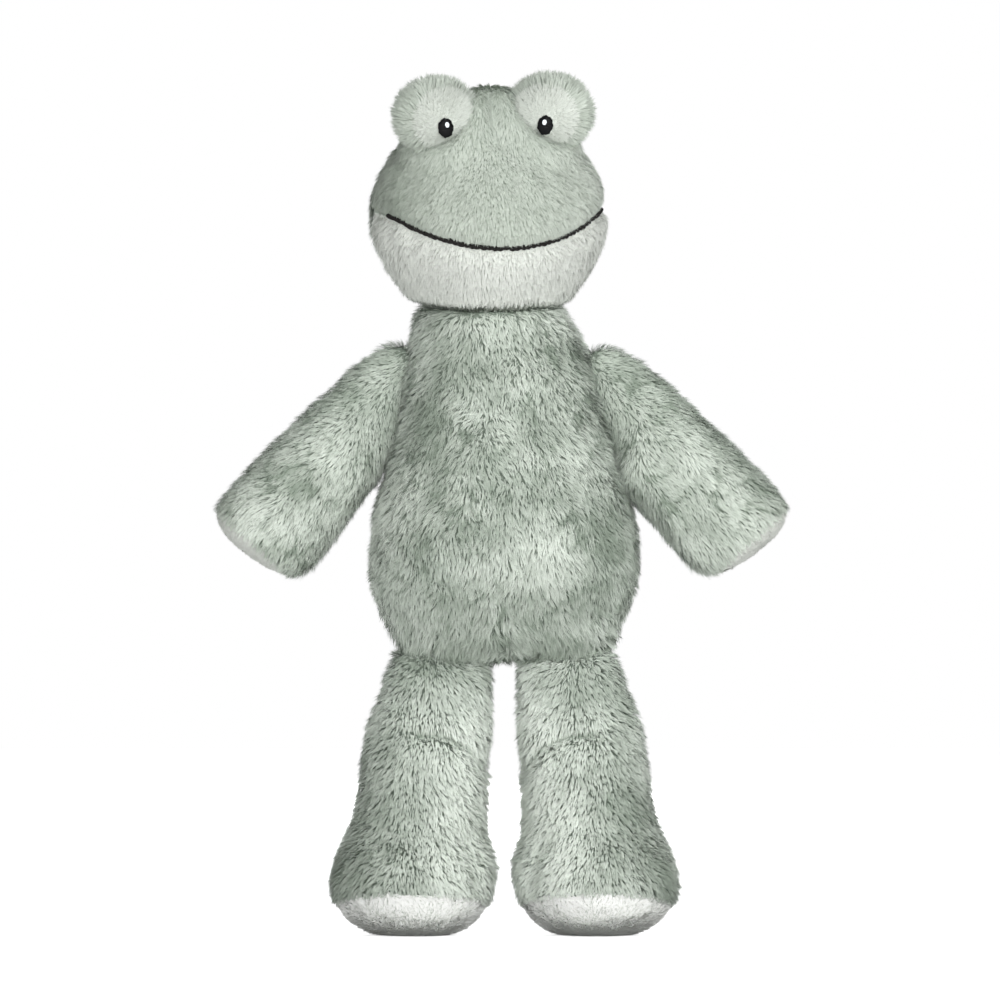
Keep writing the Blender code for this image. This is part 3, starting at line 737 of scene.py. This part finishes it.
def make_pile(name, skin, keep, comb, look, finish, seed, near=None, shade=None, lines=None):
    """Sows, combs and builds the blades of a region as one mesh.

    near(places) shortens blades, shade(places) makes tufts paler or darker, both as patches of the cloth
    and as painted light and shade, and lines(places) marks partings and creases, which it shortens and
    darkens with painted shade.
    """
    rng = np.random.default_rng(seed)
    thinner = 1.0
    heads, head_normals = sow(skin, look.tufts, keep, rng)
    spots, normals = sow(skin, look.blades * thinner, keep, rng)
    tree = kdtree.KDTree(len(heads))
    for index, place in enumerate(heads):
        tree.insert(place, index)
    tree.balance()
    own = np.array([tree.find(place)[1] for place in spots])

    swirl = np.stack([patchy(heads, 0.012, seed + step) for step in range(3)], 1)
    astray = rng.normal(0, look.stray * 0.6, (len(heads), 3))
    tuft_comb = flattened(unit(comb(heads)) + swirl * look.stray * 2.5 + astray, head_normals)
    uneven = 0.75 * look.mottle * patchy(heads, 0.010, seed + 3)
    tuft_lift = look.lift * (1 + uneven + rng.normal(0, 0.16, len(heads)))
    tuft_lift *= 1 - look.settle * np.clip(head_normals[:, 2], 0, 1)
    tuft_lift = np.radians(np.clip(tuft_lift, 8, 84))
    tuft_length = look.length * (1 + rng.normal(0, 0.10, len(heads)))
    mottle = patchy(heads, look.patch, seed + 4) + 0.55 * patchy(heads, look.patch * 0.35, seed + 5)
    tone = 0.5 + look.mottle * mottle + rng.normal(0, 0.07, len(heads))
    # A region's shade adds its patches and its painted light and shade to the tufts' tones.
    if shade is not None:
        tone += shade(heads)

    size = look.length * (1 + rng.normal(0, 0.12, len(spots)))
    if near is not None:
        size *= near(spots)
        tuft_length *= near(heads)
    parting = np.zeros(len(spots)) if lines is None else lines(spots)
    size *= 1 - 0.45 * parting
    lie = flattened(tuft_comb[own] + rng.normal(0, look.stray * 0.5, (len(spots), 3)), normals)
    rise = (tuft_lift[own] + np.radians(rng.normal(0, 7, len(spots))))[:, None]
    foot = spots - normals * foot_depth
    tuft_tip = heads + tuft_length[:, None] * (
        tuft_comb * np.cos(tuft_lift)[:, None] + head_normals * np.sin(tuft_lift)[:, None]
    )
    tip = foot + size[:, None] * (lie * np.cos(rise) + normals * np.sin(rise))
    tip += (tuft_tip[own] - tip) * (look.pull * rng.uniform(0.5, 1.0, len(spots)))[:, None]
    steep = np.minimum(rise * 1.4 + 0.1, 1.45)
    bend = foot + 0.5 * size[:, None] * (lie * np.cos(steep) + normals * np.sin(steep))

    middle = foot * (1 - bend_share) ** 2 + bend * 2 * bend_share * (1 - bend_share) + tip * bend_share**2
    width = (look.width / math.sqrt(thinner) * (1 + rng.normal(0, 0.15, len(spots))))[:, None]
    facing = flattened(normals + rng.normal(0, 0.16, normals.shape), unit(tip - foot))
    across = unit(np.cross(unit(tip - foot), facing)) * width / 2
    points = np.stack([foot - across, foot + across, middle - across * 0.9, middle + across * 0.9, tip], 1)
    points[:, :, 2] = np.maximum(points[:, :, 2], floor_gap)
    # Partings and creases are darkened here: painted shade where the pile opens.
    tones = np.clip(tone[own] - 0.75 * parting + rng.normal(0, 0.06, len(spots)), 0.02, 0.98)
    lit = unit(normals + 0.45 * unit(tip - foot) + 0.25 * facing)
    return blade_mesh(name, points, tones, lit, finish)


# %% [markdown]
# Handling opens thin partings in a pile. They run like the zero lines of a smooth noise that is itself bent
# by another one.


# %% Partings
def crinkle(places, size, seed):
    """Winding lines, 1 on a line and 0 away from it, that come and go."""
    bent = places + (patchy(places, size * 1.5, seed) * size * 0.7)[:, None] * (0.6, 0, 1)
    line = np.exp(-((patchy(bent, size, seed + 1) / 0.085) ** 2))
    return line * np.clip(0.65 + 1.6 * patchy(places, size * 2.5, seed + 2), 0, 1)


# %% [markdown]
# ## The pile of each cloth
# Combing follows the photograph: down on the body, out and down from the hips on the legs, along the arms,
# down on the face and out from the pupils on the eyes. Which panel a blade belongs to is a matter of its
# foot's place.


# %% Backing each skin
def everywhere(places):
    return places[:, 2] > -1


def line_with(piece, *finishes):
    """Gives a skin its backings: the first, and then others where their test is true for a face's middle."""
    middles = np.empty(len(piece.data.polygons) * 3)
    piece.data.polygons.foreach_get("center", middles)
    chosen = np.zeros(len(piece.data.polygons), np.int32)
    for number, (finish, test) in enumerate(finishes):
        piece.data.materials.append(finish)
        chosen[test(middles.reshape(-1, 3))] = number
    piece.data.polygons.foreach_set("material_index", chosen)


# %% Body
piles = {}


def in_front(places):
    return places[:, 1] < seam_depth


def body_comb(places):
    """Down, out to the sides a little, and out at the neck's rim."""
    out = places - (pivots["head"].x, seam_depth, 0)
    rim = np.clip((places[:, 2] - neck_height + 0.004) / 0.003, 0, 1)[:, None]
    return out * (6.0, 0, 0) + out * (1, 1, 0) * rim * 30 + (0, 0, 1) * (0.8 * rim - 1)


def off_neck(places):
    """All but the round seat of the head."""
    out = np.hypot(places[:, 0] - pivots["head"].x, places[:, 1] - seam_depth)
    return (out > 0.022) | (places[:, 2] < neck_height - 0.006)


def long_at_hips(places):
    """Longer blades round the bottom, which hang over the roots of the legs."""
    return 1 + 0.7 * np.clip((0.122 - places[:, 2]) / 0.010, 0, 1)


def body_patches_and_painted_light(places):
    """Painted light at the left side, which the lamps leave darker, and pale patches on the belly and below
    the chin where the pile lies flat, the one below the chin also painted light against its shadow.
    """
    side = np.clip((-places[:, 0] - 0.026) / 0.016, 0, 1)
    belly = np.exp(-(((places[:, 0] - 0.0165) / 0.011) ** 2 + ((places[:, 2] - 0.151) / 0.012) ** 2))
    chin = np.exp(-(((places[:, 0] + 0.002) / 0.022) ** 2 + ((places[:, 2] - 0.230) / 0.009) ** 2))
    return -0.05 + 0.24 * side + 0.35 * belly + 0.38 * chin


def body_lines(places):
    """Partings all over, and a fold down the middle of the belly."""
    fold = line_away(places, ((-0.0005, 0.128), (-0.0020, 0.118), (-0.0005, 0.107)))
    side = np.clip(np.abs(places[:, 0]) / 0.030 + 0.35, 0, 1.2)
    return np.clip(np.maximum(crinkle(places, 0.0058, 5) * side, np.exp(-((fold / 0.0012) ** 2))), 0, 1)


body_look = Look(3.8, 0.72, 0.00031, 0.0045, 38, 0.58, 0.30, 0.020, 0.50)
for number, (name, keep) in enumerate((("front", in_front), ("back", lambda places: ~in_front(places)))):
    piles[f"torso_{name}_panel"] = make_pile(
        f"torso_{name}_pile", torso, lambda places: keep(places) & off_neck(places), body_comb,
        body_look, body_pile, 11 + number, long_at_hips, body_patches_and_painted_light, body_lines,
    )


line_with(torso, (sage_backing, everywhere))


# %% Head
def is_back(places):
    return seen_from(head_place, places)[:, 1] > back_seam


def above_mouth(places):
    return mouth_gap(seen_from(head_place, places))


def on_face(places):
    return ~is_back(places) & (above_mouth(places) > 0)


def on_jaw(places):
    return ~is_back(places) & (above_mouth(places) <= 0)


def off_seat(places):
    return seen_from(head_place, places)[:, 2] > 0.0005


def short_by_mouth(places):
    """Blades are short beside the cord, which they don't cover, and a little longer below the chin."""
    gap = above_mouth(places)
    upper = np.clip((gap + 0.0004) / 0.0036, 0.30, 1)
    lower = np.clip((0.0004 - gap) / 0.0028, 0.30, 1)
    below_chin = np.clip(1.3 - seen_from(head_place, places)[:, 2] / 0.030, 1, 1.3)
    return np.where(gap > 0, upper, lower) * below_chin


def face_comb(places):
    out = places - np.array(pivots["head"])
    rim = np.clip(1 - seen_from(head_place, places)[:, 2] / 0.006, 0, 1)[:, None]
    return out * (9.0, 0, 0) + out * (1, 1, 0) * rim * 60 + (0, 0, -1)


def face_painted_light_and_shade(places):
    """Painted shade at the left cheek, where the cloth turns from the lamps, and a little at the crown;
    painted light over the nose and at the right side, and a little paler all over.
    """
    cheek = np.clip((-places[:, 0] - 0.024) / 0.016, 0, 1)
    crown = np.clip((places[:, 2] - 0.298) / 0.014, 0, 1)
    nose = np.exp(-(((places[:, 0] - 0.006) / 0.026) ** 2 + ((places[:, 2] - 0.291) / 0.009) ** 2))
    right = np.clip((places[:, 0] - 0.008) / 0.022, 0, 1)
    return 0.15 + 0.26 * right - 0.55 * cheek - 0.06 * crown + 0.16 * nose


def face_lines(places):
    """Faint, narrow partings."""
    return 0.40 * crinkle(places, 0.0040, 31)


def crown_painted_light(places):
    """Paler where the back's cloth shows between the eyes, in the face's tone, and as painted light on the
    top of the head, which renders in shade.
    """
    return 0.6 * np.exp(-(((places[:, 1] - 0.006) / 0.014) ** 2 + ((places[:, 2] - 0.322) / 0.012) ** 2))


face_look = Look(6.8, 1.15, 0.00027, 0.0034, 38, 0.46, 0.08, 0.012, 0.16, 0.50)
piles["head_face_panel"] = make_pile(
    "face_pile", head, on_face, face_comb, face_look, face_pile, 21, short_by_mouth, face_painted_light_and_shade, face_lines
)
piles["head_jaw_panel"] = make_pile(
    "jaw_pile", head, lambda places: on_jaw(places) & off_seat(places), face_comb,
    face_look._replace(lift=42, pull=0.30), jaw_pile, 22, short_by_mouth,
)
piles["head_back_panel"] = make_pile(
    "head_back_pile", head, lambda places: is_back(places) & off_seat(places), face_comb,
    Look(4.2, 0.8, 0.00031, 0.0040, 40, 0.50, 0.18, 0.018, 0.45, 0.5), body_pile, 23, shade=crown_painted_light,
)

line_with(
    head, (sage_backing, everywhere), (face_backing, lambda places: ~is_back(places)), (pale_backing, on_jaw)
)

# %% Eyes
pupil_spot = {
    name: eye_place[name] @ Vector((-side * 0.0018 - 0.0007, -0.0092, -0.0042))
    for name, side in sides.items()
}
eye_look = Look(8.0, 1.6, 0.00024, 0.0027, 40, 0.35, 0.10, 0.010, 0.30)
for number, name in enumerate(sides):
    pupil_at = np.array(pupil_spot[name])

    def faces_ahead(places):
        return seen_from(eye_place[name], places) @ np.array(eye_gaze[name]) > eye_seam

    def from_pupil(places):
        return unit(places - pupil_at) + (0, 0.15, 0)

    def clear_of_pupil(places):
        return np.clip(np.linalg.norm(places - pupil_at, axis=1) / 0.006, 0.35, 1)

    # Painted shade round the pupil, where the pile meets its stitches; a little paler elsewhere on the patch.
    def painted_shade_by_pupil(places):
        return 0.1 - 0.5 * np.exp(-((np.linalg.norm(places - pupil_at, axis=1) / 0.0045) ** 2))

    piles["eye_front_panel_" + name] = make_pile(
        "eye_front_pile_" + name, eyes[name], faces_ahead, from_pupil,
        eye_look, eye_pile, 31 + number, clear_of_pupil, painted_shade_by_pupil,
    )
    piles["eye_back_panel_" + name] = make_pile(
        "eye_back_pile_" + name, eyes[name], lambda places: ~faces_ahead(places), from_pupil,
        eye_look._replace(blades=7.0, length=0.0046, lift=50, pull=0.50, stray=0.17, mottle=0.45),
        face_pile, 33 + number, shade=lambda places: np.full(len(places), 0.06),
    )
    line_with(eyes[name], (face_backing, everywhere), (pale_backing, faces_ahead))


# %% Dressing a limb
def dress_limb(limb, end, name, is_end, seed, panel, pad):
    """Makes the piles of a limb's two panels and of the pad at its end, and backs its skin.

    panel and pad hold what sets the two cloths' piles apart.
    """
    skin = limbs[f"{limb}_{name}"]
    cloths = (
        (f"{limb}_front", "panel", panel, lambda places: in_front(places) & ~is_end(places)),
        (f"{limb}_back", "panel", panel, lambda places: ~in_front(places) & ~is_end(places)),
        (end, "pad", pad, is_end),
    )
    for step, (title, cut, how, keep) in enumerate(cloths):
        pile = make_pile(f"{title}_pile_{name}", skin, keep, seed=seed + step, **how)
        piles[f"{title}_{cut}_{name}"] = pile
    line_with(skin, (sage_backing, everywhere), (pale_backing, is_end))


# %% Arms
arm_look = Look(4.6, 0.90, 0.00029, 0.0043, 36, 0.42, 0.19, 0.016, 0.36)
pad_look = Look(9.0, 1.6, 0.00031, 0.0024, 36, 0.25, 0.12, 0.012, 0.20)
dark_spots = {"left": ((-0.078, 0.174), (-0.089, 0.148)), "right": ((0.070, 0.170), (0.092, 0.182))}


def arm_lines(places):
    return crinkle(places, 0.008, 7)


for number, (name, side) in enumerate(sides.items()):
    start = np.array(pivots["arm_" + name])
    along = np.array(arm_along[name])

    def is_paw(places):
        return (places - start) @ along > paw_seam

    def arm_comb(places):
        """Out from the shoulder's seam, and then along the arm and down a little."""
        fan = unit(places - (start + np.array((0, 0, 0.004))))
        near = np.exp(-np.linalg.norm(places - start, axis=1) / 0.030)[:, None]
        return fan * near * 1.5 + along + (0, 0, -0.2)

    def arm_spots_and_painted_light(places):
        """Painted shade along the upper edge, where the cloth turns from the lamps, painted light growing
        towards the paw, and darker in two spots of the pile.
        """
        above = (places - start) @ np.array((side * arm_drop, 0, arm_spread))
        far = (places - start) @ along
        tone = np.interp(far, (0.0, 0.03, 0.08), (-0.18, 0.10, 0.30))
        tone -= 0.28 * np.clip((above - 0.012) / 0.009, 0, 1)
        for x, z in dark_spots[name]:
            tone -= 0.30 * np.exp(-((places[:, 0] - x) ** 2 + (places[:, 2] - z) ** 2) / 0.0065**2)
        return tone

    dress_limb(
        "arm", "paw", name, is_paw, 41 + number * 10,
        panel=dict(comb=arm_comb, look=arm_look, finish=body_pile, shade=arm_spots_and_painted_light, lines=arm_lines),
        pad=dict(comb=arm_comb, look=pad_look, finish=paw_pile),
    )

# %% Legs
leg_look = Look(4.6, 0.60, 0.00033, 0.0047, 46, 0.64, 0.15, 0.018, 0.32)
for number, (name, side) in enumerate(sides.items()):
    hip = np.array(pivots["leg_" + name])

    def is_sole(places):
        return places[:, 2] < sole_height - (places[:, 1] - seam_depth) * sole_slope

    def leg_comb(places):
        """Out from the hip near the top, and then down."""
        out = places - (side * 0.029, hip[1], 0.106)
        spread = np.exp(-np.linalg.norm(out, axis=1) / 0.040)[:, None]
        return unit(out) * (0.3 + 1.4 * spread) + (0, 0, -0.6)

    def sole_comb(places):
        return (places - (hip[0] + side * 0.0107, hip[1], 0)) * (1, 1, 0) + (0, 0, 0.002)

    def leg_shade(places):
        """Darker on the outer side, most beside the shin and at the foot's outer corner, paler on the inner
        side and at the inner ankle, and painted shade at the top, below the body.
        """
        across = places[:, 0] * side
        inner = 1 - np.clip((across - 0.010) / 0.045, 0, 1)
        shin = np.exp(-(((across - 0.044) / 0.010) ** 2 + ((places[:, 2] - 0.049) / 0.012) ** 2))
        ankle = np.exp(-(((across - 0.012) / 0.016) ** 2 + ((places[:, 2] - 0.028) / 0.018) ** 2))
        top = np.clip((places[:, 2] - 0.078) / 0.020, 0, 1)
        corner = np.exp(-(((across - 0.0605) / 0.010) ** 2 + ((places[:, 2] - 0.0225) / 0.013) ** 2))
        dark = 0.16 * top + 0.24 * shin + 0.30 * corner
        return -0.11 + (0.90 - 0.70 * top) * inner**2 + 0.26 * ankle - dark

    def short_at_sole(places):
        """Blades end where the sole's pad begins."""
        above = places[:, 2] - sole_height + (places[:, 1] - seam_depth) * sole_slope
        return np.clip(0.30 + above / 0.006, 0.30, 1)

    def leg_lines(places):
        away = np.minimum(line_away(places, creases[name][0]), line_away(places, creases[name][1]))
        return np.exp(-((away / 0.0014) ** 2))

    shaped = dict(near=short_at_sole, shade=leg_shade, lines=leg_lines)
    dress_limb(
        "leg", "sole", name, is_sole, 61 + number * 10,
        panel=dict(comb=leg_comb, look=leg_look, finish=leg_pile, **shaped),
        pad=dict(comb=sole_comb, look=pad_look, finish=sole_pile_painted_light),
    )

# %% [markdown]
# ## Mouth and pupils
# The mouth is a twisted cord of two dark threads, stitched down in its groove. It is drawn as two curves
# that wind round each other along the arc, and turned into mesh.


# %% Thread finishes
def thread_finish(name, dark, pale, roughness, shine, scale):
    """Fine parallel fibres: a stretched noise in colour and bumps."""
    material, tree, shader, link = new_finish(name, {"Roughness": roughness, "Specular IOR Level": shine})
    place = new_node(tree, "TexCoord")
    stretch = new_node(tree, "Mapping", {"Scale": (1.0, 1.0, 0.25)})
    fibres = new_node(tree, "TexNoise", {"Scale": scale, "Detail": 2.0})
    shade = new_node(tree, "Mix", {"A": (*dark, 1), "B": (*pale, 1)}, data_type="RGBA")
    bump = new_node(tree, "Bump", {"Strength": 0.6, "Distance": 0.0002})
    link(place.outputs["Object"], stretch.inputs["Vector"])
    link(stretch.outputs["Vector"], fibres.inputs["Vector"])
    link(fibres.outputs["Fac"], shade.inputs["Factor"])
    link(shade.outputs["Result"], shader.inputs["Base Color"])
    link(fibres.outputs["Fac"], bump.inputs["Height"])
    link(bump.outputs["Normal"], shader.inputs["Normal"])
    return material


cord_thread = thread_finish("mouth_thread", (0.003, 0.003, 0.003), (0.020, 0.018, 0.016), 0.8, 0.2, 2600.0)
pupil_thread = thread_finish("pupil_thread", (0.001, 0.001, 0.001), (0.003, 0.003, 0.004), 0.4, 0.12, 1800.0)
painted_glint_thread = thread_finish("painted_glint_thread", (0.75, 0.82, 0.88), (0.92, 0.95, 0.98), 0.5, 0.4, 1800.0)

# %% The mouth's cord
half_width = 0.0402
half_steps = 160
turns = 30
ply = 0.00054
toward = (head_place.to_3x3() @ Vector((0, 1, 0))).normalized()
path = []
for step in range(2 * half_steps + 1):
    across = half_width * math.sin(math.pi / 2 * (step / half_steps - 1))
    height = mouth_middle - math.sqrt(mouth_radius**2 - across**2)
    _, place, normal, _ = head.ray_cast(head_place @ Vector((across, -0.2, height)), toward)
    waver = noise.noise(place * 260) * 0.0004
    path.append((place + normal * (0.0013 + waver * 0.5) + Vector((0, 0, waver)), normal))
cord = bpy.data.curves.new("mouth_cord", "CURVE")
cord.dimensions = "3D"
cord.bevel_depth = ply
cord.bevel_resolution = 2
cord.use_fill_caps = True
for half_turn in (0, math.pi):
    spline = cord.splines.new("POLY")
    spline.points.add(len(path) - 1)
    for index, (place, normal) in enumerate(path):
        ahead = path[min(index + 1, len(path) - 1)][0] - path[max(index - 1, 0)][0]
        sideways = ahead.normalized().cross(normal)
        angle = half_turn + 2 * math.pi * turns * index / len(path)
        wind = (normal * math.cos(angle) + sideways * math.sin(angle)) * ply * 0.85
        spline.points[index].co = (*(place + wind), 1)
        taper = 1.1 - 0.55 * abs(index / half_steps - 0.85) ** 2
        spline.points[index].radius = taper * (1 + 0.45 * noise.noise(place * 420))
cord_piece = bpy.data.objects.new("mouth_cord", cord)
bpy.context.scene.collection.objects.link(cord_piece)
bpy.ops.object.select_all(action="DESELECT")
cord_piece.select_set(True)
bpy.context.view_layer.objects.active = cord_piece
bpy.ops.object.convert(target="MESH")
cord_piece = bpy.context.active_object
cord_piece.data.shade_smooth()
cord_piece.data.materials.append(cord_thread)
length = sum((after[0] - before[0]).length for before, after in zip(path, path[1:]))
print("mouth cord", len(cord_piece.data.polygons), "faces,", round(length * 1000, 1), "mm long")

# %% [markdown]
# A pupil is an oval of satin stitches, a little domed, with its threads running from rim to rim, and a
# small oval of white stitches on it, a painted highlight where the lamps shine on the glossy pupil. It
# starts as a sphere that is flattened, and its threads are ridges across it.


# %% Pupils and painted highlights
def stitched_oval(name, matrix, half_sizes, threads, ridge, finish):
    """A flattened sphere with fine ridges across it, placed by a matrix."""
    bpy.ops.object.select_all(action="DESELECT")
    bpy.ops.mesh.primitive_uv_sphere_add(segments=64, ring_count=32, radius=1.0, rotation=(math.pi / 2, 0, 0))
    piece = bpy.context.active_object
    piece.name = name
    bpy.ops.object.transform_apply(location=False, rotation=True, scale=False)
    bpy.ops.object.mode_set(mode="EDIT")
    bpy.ops.mesh.select_all(action="SELECT")
    bpy.ops.transform.resize(value=half_sizes)
    bpy.ops.object.mode_set(mode="OBJECT")
    places = places_of(piece)
    places[:, 1] *= 1 + ridge * np.cos(places[:, 2] / half_sizes[2] * math.pi * threads)
    angle = np.arctan2(places[:, 2] / half_sizes[2], places[:, 0] / half_sizes[0])
    ragged = 1 + 0.03 * np.sin(7 * angle + 2) + 0.03 * np.sin(13 * angle) + 0.03 * np.sin(29 * angle + 1)
    places *= np.stack([ragged, np.ones(len(places)), ragged], 1)
    put_places(piece, places)
    piece.data.transform(matrix)
    piece.data.materials.append(finish)
    piece.data.shade_smooth()
    return piece


pupil_half = (0.0030, 0.0014, 0.0038)
glint_half = (0.00085, 0.0004, 0.0011)
pupils = {}
for name, side in sides.items():
    spot = pupil_spot[name]
    inward = (eye_place[name].to_3x3() @ Vector((0, 1, 0))).normalized()
    _, place, normal, _ = eyes[name].ray_cast(spot - inward * 0.03, inward)
    lie = Vector((0, -1, 0)).rotation_difference(normal * 0.6 + Vector((0, -0.4, 0))).to_matrix().to_4x4()
    tilt = Matrix.Rotation(side * math.radians(8.0), 4, "Y")
    matrix = Matrix.Translation(place + normal * 0.0012) @ lie @ tilt
    pupil = stitched_oval("pupil_stitches_" + name, matrix, pupil_half, 9, 0.07, pupil_thread)
    # The white oval is a painted highlight, where the lamps shine on the glossy pupil.
    glint_place = matrix @ Matrix.Translation((side * -0.0004, -0.0012, 0.0012))
    glint = stitched_oval("painted_glint_stitches_" + name, glint_place, glint_half, 3, 0.06, painted_glint_thread)
    pupils[name] = (pupil, glint)
    print("pupil", name, "at", [round(v, 4) for v in place])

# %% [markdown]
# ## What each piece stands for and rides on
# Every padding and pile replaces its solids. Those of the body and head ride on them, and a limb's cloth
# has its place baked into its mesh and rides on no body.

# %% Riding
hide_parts("torso_stuffing")
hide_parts("head_stuffing")
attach(torso, "torso")
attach(head, "head")
for name, eye in eyes.items():
    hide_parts("eye_stuffing_" + name)
    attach(eye, "head")
    pupil, glint = pupils[name]
    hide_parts("pupil_" + name)
    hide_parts("highlight_" + name)
    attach(pupil, "head")
    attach(glint, "head")
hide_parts("mouth_stitch")
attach(cord_piece, "head")


def bend_with(piece):
    """Bakes a limb's cloth's place into its mesh."""
    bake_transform(piece)


for limb, skin in limbs.items():
    kind, name = limb.split("_")
    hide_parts(f"{kind}_stuffing_{name}")
    bend_with(skin)

for node, piece in piles.items():
    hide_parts(node)
    name = node.split("_")[-1]
    if node.startswith("torso"):
        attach(piece, "torso")
    elif node.startswith(("head", "eye")):
        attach(piece, "head")
    elif node.startswith(("arm", "paw")):
        bend_with(piece)
    else:
        bend_with(piece)
print(len(piles), "piles and", 2 + len(limbs) + len(eyes), "paddings ride on the bodies")
